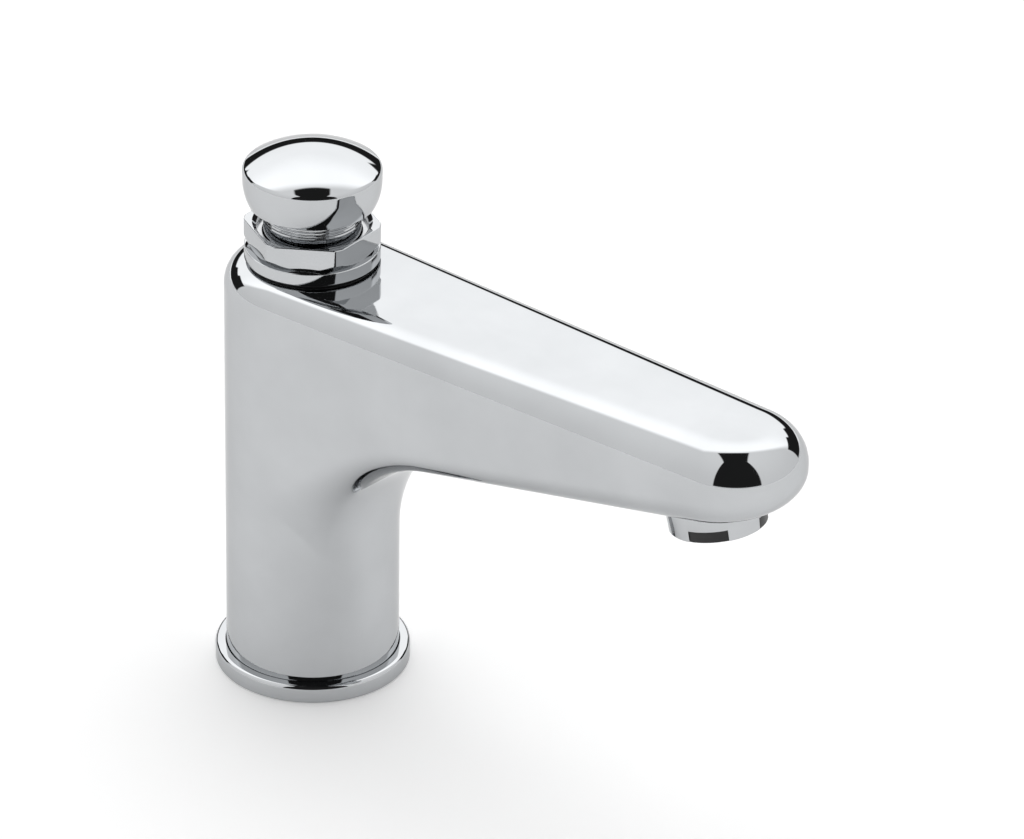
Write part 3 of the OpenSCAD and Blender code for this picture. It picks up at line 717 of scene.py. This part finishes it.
@dataclass
class Collar:
    """The hexagon collar on its round flange, its black seal and the circlip in its mouth."""

    foot_z: float = 120.2
    height: float = 9.8
    across_flats: float = 32.0
    corner_d: float = 35.6
    flats_turn: float = math.radians(2)
    flange_r: float = 17.7
    flange_h: float = 3.4
    edge: float = 0.25
    corner_blend: float = 0.12
    mouth_r: float = 14.6
    mouth_bevel: float = 1.0
    bush_z: float = 114.0
    neck_r: float = 13.6
    spigot_r: float = 15.9
    spigot_z: float = 104.5
    circlip_z: float = 126.6
    circlip_t: float = 1.0
    circlip_r: tuple[float, float] = (13.0, 15.0)
    circlip_gap: float = math.radians(20.5)
    groove_r: float = 15.1
    seal_z: float = 119.4
    seal_r: tuple[float, float] = (16.0, 16.9)

    def flats(self, angles: np.ndarray) -> np.ndarray:
        """Gives the hexagon's distance from the axis at each angle."""
        sixth = math.pi / 3
        offset = np.mod(angles - self.flats_turn + sixth / 2, sixth) - sixth / 2
        return self.across_flats / 2 / np.cos(offset)

    def section(self, angles: np.ndarray) -> np.ndarray:
        """Gives the collar's section at each angle.

        A round flange comes first, then a chamfered side trimmed to the hexagon.

        Args:
            angles: angles about the column.

        Returns:
            One row of points for each angle.
        """
        corner, flat, round_side = self.corner_d / 2, self.across_flats / 2, -self.corner_d
        top, shelf = self.foot_z + self.height, self.foot_z + self.flange_h
        flange = rounded([
            (self.spigot_r, self.foot_z, 0), (self.flange_r, self.foot_z, self.edge),
            (self.flange_r, shelf, self.edge), (flat - self.edge, shelf, 0)])[1:-1]
        outer = [(r, z, round_side) for r, z in flange]
        chamfer = np.linspace(0, corner - flat, 28)
        outer += [(flat + w, shelf + w, 0.0) for w in chamfer]
        side = np.linspace(shelf + corner - flat, top - self.edge, 20)[1:]
        outer += [(corner, z, 0.0) for z in side]
        for turn in np.linspace(0, math.pi / 2, 9)[1:]:
            inset = self.edge * (1 - math.cos(turn))
            outer.append((corner - inset, top - self.edge * (1 - math.sin(turn)), inset))
        clip_top = self.circlip_z + self.circlip_t + 0.1
        inner = [
            (self.mouth_r + self.mouth_bevel, top), (self.mouth_r, top - self.mouth_bevel),
            (self.mouth_r, clip_top), (self.groove_r, clip_top), (self.groove_r, self.circlip_z),
            (self.mouth_r, self.circlip_z), (self.mouth_r, self.bush_z), (self.neck_r, self.bush_z),
            (self.neck_r, self.spigot_z), (self.spigot_r, self.spigot_z), (self.spigot_r, self.foot_z)]
        r, z, inset = np.array(outer).T
        limit = self.flats(angles)[:, None] - inset[None]
        gap = np.abs(r[None] - limit)
        ease = np.maximum(1 - gap / self.corner_blend, 0) ** 2 * self.corner_blend / 4
        rows = np.stack([np.minimum(r[None], limit) - ease, np.broadcast_to(z, limit.shape)], -1)
        fixed = np.broadcast_to(np.array(inner), (len(angles), len(inner), 2))
        return np.concatenate([rows, fixed], 1)

    def dress(self) -> None:
        """Builds collar, seal and circlip and puts them in the places of their solids."""
        segments = 432
        angles = np.linspace(-math.pi, math.pi, segments, endpoint=False)
        nut = mesh_object("collar_nut", lathe(self.section(angles), segments))
        smooth(nut, math.radians(24))
        fit_piece(nut, Carrier.FIXED, Slot.CHROME, CHROME_CAST, "headwork_nut")
        inner, outer = self.seal_r
        seal = mesh_object("collar_seal", lathe(rounded([
            (inner, self.seal_z, 0), (outer, self.seal_z, 0.3),
            (outer, self.foot_z, 0.3), (inner, self.foot_z, 0)])))
        smooth(seal)
        fit_piece(seal, Carrier.FIXED, Slot.RUBBER, RUBBER_MOULDED, "headwork_seal")
        inner, outer = self.circlip_r
        low, high = self.circlip_z, self.circlip_z + self.circlip_t
        clip = mesh_object("collar_circlip", lathe(rounded([
            (inner, low, 0.15), (outer, low, 0.15), (outer, high, 0.15), (inner, high, 0.15)], 4),
            SEGMENTS, self.circlip_gap))
        smooth(clip)
        fit_piece(clip, Carrier.FIXED, Slot.STEEL, STEEL_DRAWN, "circlip")


@dataclass
class PushButton:
    """The domed button with its bowl-shaped skirt, and the grooved stem under it."""

    foot_z: float = 135.7
    radius: float = 18.1
    foot_r: float = 16.5
    belly_h: float = 6.8
    height: float = 15.6
    dome_r: float = 32.0
    rim_round: float = 1.6
    foot_edge: float = 0.3
    recess_r: float = 10.1
    recess_h: float = 4.5
    screw_r: float = 3.0
    screw_h: float = 9.5
    stem_r: float = 12.7
    stem_foot_z: float = 111.0
    flange_r: float = 13.3
    flange_t: float = 2.7
    bore_r: float = 10.7
    web_z: float = 132.4
    web_bore_r: float = 3.1
    spigot_r: float = 10.0
    spigot_h: float = 4.4
    grooves: int = 5
    groove_pitch: float = 0.9
    groove_first: float = 0.8
    groove_depth: float = 0.3

    def button_section(self) -> np.ndarray:
        """Gives the button's section: recess, foot, bowl, straight side, rounded rim and dome.

        Returns:
            The section's points, from the axis back to the axis.
        """
        side = self.radius - self.foot_r
        bowl_r = (side ** 2 + self.belly_h ** 2) / (2 * side)
        foot_turn = -math.asin(self.belly_h / bowl_r)
        low, crown = self.foot_z, self.foot_z + self.height
        rim_at = self.radius - self.rim_round
        rim_turn = math.acos(rim_at / (self.dome_r - self.rim_round))
        rim_z = crown - self.dome_r + (self.dome_r - self.rim_round) * math.sin(rim_turn)
        points = [
            (0.0, low + self.screw_h), (self.screw_r, low + self.screw_h),
            (self.screw_r, low + self.recess_h), (self.recess_r, low + self.recess_h),
            (self.recess_r, low), (self.foot_r - self.foot_edge, low)]
        bowl_from = foot_turn + self.foot_edge / bowl_r
        points += arc((self.radius - bowl_r, low + self.belly_h), bowl_r, bowl_from, 0, 40)
        points += arc((rim_at, rim_z), self.rim_round, 0, rim_turn, 16)
        points += arc((0.0, crown - self.dome_r), self.dome_r, rim_turn, math.pi / 2, 48)[1:]
        points[-1] = (0.0, crown)
        return np.array(points)

    def stem_section(self) -> np.ndarray:
        """Gives the stem's section with its stop flange, turned grooves, web and spigot.

        Returns:
            The section's points.
        """
        deep, round_off = self.groove_depth, 0.12
        corners = [
            (self.web_bore_r, self.web_z, 0), (self.bore_r, self.web_z, 0.3),
            (self.bore_r, self.stem_foot_z, 0.2), (self.flange_r, self.stem_foot_z, 0.2),
            (self.flange_r, self.stem_foot_z + self.flange_t, 0.2),
            (self.stem_r, self.stem_foot_z + self.flange_t, 0.1)]
        for i in reversed(range(self.grooves)):
            z = self.foot_z - self.groove_first - i * self.groove_pitch
            corners += [(self.stem_r, z - deep, round_off), (self.stem_r - deep, z, 0.1),
                        (self.stem_r, z + deep, round_off)]
        corners += [
            (self.stem_r, self.foot_z, 0.1), (self.spigot_r, self.foot_z, 0),
            (self.spigot_r, self.foot_z + self.spigot_h, 0.2),
            (self.web_bore_r, self.foot_z + self.spigot_h, 0)]
        return rounded(corners, 5)

    def dress(self) -> None:
        """Builds button and stem and puts them in the places of their solids."""
        button = mesh_object("button_dome", lathe(self.button_section(), 320))
        smooth(button)
        fit_piece(button, Carrier.MOVING, Slot.CHROME, CHROME_CAST, "push_button")
        stem = mesh_object("button_stem", lathe(self.stem_section(), 256))
        smooth(stem, math.radians(50))
        fit_piece(stem, Carrier.MOVING, Slot.CHROME, CHROME_TURNED, "button_sleeve")


@dataclass
class ReturnSpring:
    """The wire spring in the hollow stem, its end turns closer together."""

    foot_z: float = 104.5
    head_z: float = 132.4
    stroke: float = 5.0
    coil_r: float = 9.3
    wire_r: float = 0.9
    clearance: float = 0.3
    turns: int = 6
    closing: float = 0.08
    rings_per_turn: int = 48
    sides: int = 16

    def solid(self) -> Solid:
        """Winds the wire as one closed tube.

        Returns:
            The tube's points and faces.
        """
        share = np.linspace(0, 1, self.turns * self.rings_per_turn + 1)
        low = self.foot_z + self.wire_r + self.clearance
        high = self.head_z - self.wire_r - self.clearance
        rise = low + (high - low) * (share - self.closing * np.sin(2 * math.pi * share))
        turn = 2 * math.pi * self.turns * share
        out = np.stack([np.cos(turn), np.sin(turn), np.zeros_like(turn)], -1)
        line = self.coil_r * out + np.stack([np.zeros_like(rise), np.zeros_like(rise), rise], -1)
        forward = np.gradient(line, axis=0)
        forward /= np.linalg.norm(forward, axis=1, keepdims=True)
        up = np.cross(forward, out)
        angles = np.linspace(0, 2 * math.pi, self.sides, endpoint=False)
        tube = line[:, None] + self.wire_r * (
            np.cos(angles)[None, :, None] * out[:, None] + np.sin(angles)[None, :, None] * up[:, None])
        n, count = self.sides, len(share)
        faces = strip_faces(count, n)
        faces += [tuple(range(n)), tuple(range((count - 1) * n, count * n))]
        return tube.reshape(-1, 3), faces

    def dress(self) -> None:
        """Builds the spring, gives it a mesh of its own and puts it in the place of its solid."""
        coil = mesh_object("return_coil", self.solid())
        smooth(coil, math.radians(60))
        fit_piece(coil, Carrier.FIXED, Slot.STEEL, STEEL_DRAWN, "return_spring")
        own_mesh(coil)


@dataclass
class Aerator:
    """The chromed ring under the tip, with four notches in its lower edge."""

    matrix: Matrix
    skirt_r: float = 13.0
    taper: float = 0.3
    height: float = 6.7
    bevel: float = 0.5
    spigot_r: float = 11.9
    spigot_h: float = 8.0
    bore_r: float = 10.3
    step_r: float = 9.5
    step_z: float = 0.7
    notches: int = 4
    notch_w: float = 10.2
    notch_h: float = 3.2
    notch_turn: float = math.radians(64)
    edge: float = 0.14

    def notch(self, i: int) -> Solid:
        """Gives the block that cuts one notch.

        Args:
            i: the notch's number.

        Returns:
            The block's points and faces.
        """
        half, low, high = self.notch_w / 2, self.height - self.notch_h, self.height + 1
        near, far = self.step_r, self.skirt_r + 2
        points = np.array([(x, y, z) for x in (near, far) for y in (-half, half) for z in (low, high)])
        faces = [(0, 1, 3, 2), (4, 6, 7, 5), (0, 4, 5, 1), (2, 3, 7, 6), (0, 2, 6, 4), (1, 5, 7, 3)]
        turn = Matrix.Rotation(2 * math.pi * i / self.notches + self.notch_turn, 4, "Z")
        return placed((points, faces), turn)

    def dress(self) -> None:
        """Builds the ring and puts it in the place of its solid."""
        section = rounded([
            (self.step_r, -self.spigot_h, 0), (self.spigot_r, -self.spigot_h, 0.2), (self.spigot_r, 0, 0),
            (self.skirt_r, 0, 0.15), (self.skirt_r - self.taper, self.height, self.bevel),
            (self.bore_r, self.height, 0.2), (self.bore_r, self.step_z, 0), (self.step_r, self.step_z, 0)], 6)
        ring = mesh_object("aerator_ring", lathe(section, 256))
        for i in range(self.notches):
            combine(ring, mesh_object(f"notch_{i}", self.notch(i)), "DIFFERENCE")
        bevel = ring.modifiers.new("edges", "BEVEL")
        bevel.width, bevel.segments, bevel.limit_method = self.edge * MM, 2, "ANGLE"
        bevel.angle_limit = math.radians(50)
        settle(ring)
        ring.data.transform(self._in_metres())
        smooth(ring)
        fit_piece(ring, Carrier.FIXED, Slot.CHROME, CHROME_CAST, "aerator_housing")

    def _in_metres(self) -> Matrix:
        """Gives the outlet's place in metres."""
        place = self.matrix.copy()
        place.translation *= MM
        return place


@dataclass
class InnerWorks:
    """The solids that are shown as they are: the valve, its seals and the foot."""

    finishes: dict[Slot, Finish] = field(default_factory=lambda: FINISH_OF_SLOT)

    def dress(self) -> None:
        """Gives each carried-over solid the finish of its slot."""
        slots = {n["node"]: Slot(n["material_slot"]) for n in frame["record"]["subparts"]}
        for name, thing in frame["nodes"].items():
            finish = self.finishes[slots[name]]
            thing.data.materials.clear()
            thing.data.materials.append(finish.material())
            if not thing.hide_render:
                LOG.info("%s: carried over, %s", name, finish.name)


@dataclass(frozen=True)
class Panel:
    """A soft box, or a dark gap between two, in the tent of light round the object.

    Its limits are degrees: to either side of the camera, above the horizon, over the object from the camera's
    horizon to the one behind, off the upright plane through the camera, and off the axis of the big soft box.
    """

    brightness: float
    azimuth: tuple[float, float] | None = None
    elevation: tuple[float, float] | None = None
    over: tuple[float, float] | None = None
    off_plane: tuple[float, float] | None = None
    off_axis: tuple[float, float] | None = None
    softness: float = 2.0


@dataclass
class Studio:
    """Floor, light and camera."""

    azimuth: float = 39.929
    elevation: float = 31.333
    distance: float = 1886.473
    focal: float = 7065.214
    pitch: float = 29.44
    yaw: float = -1.856
    roll: float = 0.849
    image_w: float = 1024.0
    sensor: float = 36.0
    floor_half: float = 9000.0
    floor_tones: tuple[str, str] = ("#FAFAFA", "#F7F7F7")
    floor_glow: float = 0.15
    wall: float = 1.0
    centre_azimuth: float = 3.0
    box_over: float = 150.0
    panels: tuple[Panel, ...] = (
        Panel(1.17, elevation=(40, 140), softness=80.0),
        Panel(1.98, off_axis=(-20, 52), softness=9.0),
        Panel(1.72, over=(130, 240), off_axis=(-40, 52), softness=30.0),
        Panel(0.02, azimuth=(147, 190), elevation=(2, 16)),
        Panel(0.02, azimuth=(134, 150), elevation=(2, 22)),
        Panel(0.02, azimuth=(114, 137), elevation=(2, 27)),
        Panel(0.02, azimuth=(-10, 36), elevation=(2, 84)),
        Panel(0.02, over=(60, 96), off_plane=(-10, 14)),
    )

    def camera(self) -> None:
        """Sets the camera where the photograph was taken from."""
        a, e, t = (math.radians(v) for v in (self.azimuth, self.elevation, self.pitch))
        y, roll = math.radians(self.yaw) + a, math.radians(self.roll)
        forward = Vector((-math.sin(y) * math.cos(t), math.cos(y) * math.cos(t), -math.sin(t)))
        level = Vector((math.cos(y), math.sin(y), 0))
        upright = level.cross(forward)
        right = math.cos(roll) * level + math.sin(roll) * upright
        up = -math.sin(roll) * level + math.cos(roll) * upright
        turn = Matrix((right, up, -forward)).transposed().to_4x4()
        back = Vector((math.sin(a) * math.cos(e), -math.cos(a) * math.cos(e), math.sin(e)))
        lens = bpy.data.cameras.new("view")
        lens.sensor_fit, lens.sensor_width = "HORIZONTAL", self.sensor
        lens.lens = self.focal / self.image_w * self.sensor
        lens.clip_end = 100
        thing = bpy.data.objects.new("view", lens)
        bpy.context.scene.collection.objects.link(thing)
        thing.matrix_world = Matrix.Translation(back * self.distance * MM) @ turn
        bpy.context.scene.camera = thing
        LOG.info("camera: %.1f mm lens", lens.lens)

    def floor(self) -> None:
        """Lays the pale floor."""
        h, drop = self.floor_half, -0.1
        corners = np.array([(-h, -h, drop), (h, -h, drop), (h, h, drop), (-h, h, drop)])
        thing = mesh_object("floor", (corners, [(0, 1, 2, 3)]))
        # Matt background paper: pale and without gloss, its grain too fine to break up the shadow.
        paper = Finish("matt_background_paper", *self.floor_tones, 0.0, (0.9, 0.95),
                       300.0, Relief.GRAIN, 0.8, 0.0005)
        thing.data.materials.append(self._whitened(paper.material()))
        LOG.info("floor: %s", paper.name)

    def _whitened(self, material: bpy.types.Material) -> bpy.types.Material:
        """Lifts the floor to white where it is seen or mirrored.

        What this adds lights nothing else, and the floor keeps its shadows.

        Args:
            material: the floor's material.

        Returns:
            The same material.
        """
        tree = material.node_tree
        rays = add_node(tree, "ShaderNodeLightPath", {}).outputs
        seen = rays["Is Camera Ray"]
        for kind in ("Is Glossy Ray", "Is Transmission Ray"):
            seen = add_node(tree, "ShaderNodeMath", {0: seen, 1: rays[kind]}, operation="MAXIMUM").outputs[0]
        glow = add_node(tree, "ShaderNodeMath", {0: seen, 1: self.floor_glow}, operation="MULTIPLY")
        shader = next(node for node in tree.nodes if node.type == "BSDF_PRINCIPLED")
        tree.links.new(glow.outputs[0], shader.inputs["Emission Strength"])
        return material

    def light(self) -> None:
        """Builds the tent of soft boxes as the world's light."""
        world = bpy.data.worlds.new("soft_boxes")
        bpy.context.scene.world = world
        world.use_nodes = True
        tree = world.node_tree
        tree.nodes.clear()
        a = math.radians(self.azimuth + self.centre_azimuth)
        way = add_node(tree, "ShaderNodeTexCoord", {}).outputs["Generated"]
        ahead, aside = (add_node(tree, "ShaderNodeVectorMath", {0: way, 1: axis}, operation="DOT_PRODUCT")
                        for axis in ((math.sin(a), -math.cos(a), 0), (math.cos(a), math.sin(a), 0)))
        off = add_node(tree, "ShaderNodeMath", {0: aside.outputs["Value"]}, operation="ABSOLUTE").outputs[0]
        height = add_node(tree, "ShaderNodeSeparateXYZ", {"Vector": way}).outputs["Z"]
        front = ahead.outputs["Value"]
        azimuth = add_node(tree, "ShaderNodeMath", {0: off, 1: front}, operation="ARCTAN2").outputs[0]
        elevation = add_node(tree, "ShaderNodeMath", {0: height}, operation="ARCSINE").outputs[0]
        over = add_node(tree, "ShaderNodeMath", {0: height, 1: front}, operation="ARCTAN2").outputs[0]
        off_plane = add_node(tree, "ShaderNodeMath", {0: off}, operation="ARCSINE").outputs[0]
        tilt = math.radians(self.box_over)
        axis = (math.sin(a) * math.cos(tilt), -math.cos(a) * math.cos(tilt), math.sin(tilt))
        along = add_node(tree, "ShaderNodeVectorMath", {0: way, 1: axis}, operation="DOT_PRODUCT")
        away = add_node(tree, "ShaderNodeMath", {0: along.outputs["Value"]}, operation="ARCCOSINE")
        off_axis = away.outputs[0]
        level: Any = self.wall
        for panel in self.panels:
            share: Any = 1.0
            measures = ((azimuth, panel.azimuth), (elevation, panel.elevation), (over, panel.over),
                        (off_plane, panel.off_plane), (off_axis, panel.off_axis))
            for angle, limits in measures:
                if limits is not None:
                    share = self._share(tree, angle, limits, panel.softness, share)
            parts = {0: share, 2: level, 3: panel.brightness}
            level = add_node(tree, "ShaderNodeMix", parts, data_type="FLOAT").outputs[0]
        glow = add_node(tree, "ShaderNodeBackground", {"Color": level, "Strength": 1.0})
        add_node(tree, "ShaderNodeOutputWorld", {"Surface": glow.outputs["Background"]})
        LOG.info("light: %d panels", len(self.panels))

    def _share(self, tree: bpy.types.NodeTree, angle: bpy.types.NodeSocket, limits: tuple[float, float],
               softness: float, share: Any) -> bpy.types.NodeSocket:
        """Keeps a panel between two angles, with soft edges.

        Args:
            tree: the world's node tree.
            angle: the output that carries the angle in radians.
            limits: the two angles in degrees.
            softness: width of the soft edges in degrees.
            share: the panel so far.

        Returns:
            The output that is 1 on the panel and 0 off it.
        """
        for limit, ends in zip(limits, ((0.0, 1.0), (1.0, 0.0))):
            edge = add_node(tree, "ShaderNodeMapRange", {
                "Value": angle, "From Min": math.radians(limit - softness / 2),
                "From Max": math.radians(limit + softness / 2), "To Min": ends[0], "To Max": ends[1]},
                interpolation_type="SMOOTHSTEP").outputs["Result"]
            share = add_node(tree, "ShaderNodeMath", {0: share, 1: edge}, operation="MULTIPLY").outputs[0]
        return share

    def dress(self) -> None:
        """Sets camera, floor, light and the plain view transform."""
        self.camera()
        self.floor()
        self.light()
        bpy.context.scene.view_settings.view_transform = "Standard"


def main() -> None:
    """Builds the tap piece by piece, then its studio."""
    logging.basicConfig(level=logging.INFO, format="%(name)s %(message)s")
    body = TapBody()
    for part in (body, FootRing(), Collar(), PushButton(), ReturnSpring(), Aerator(body.outlet_matrix()),
                 InnerWorks(), Studio()):
        part.dress()


if __name__ == "__main__":
    main()
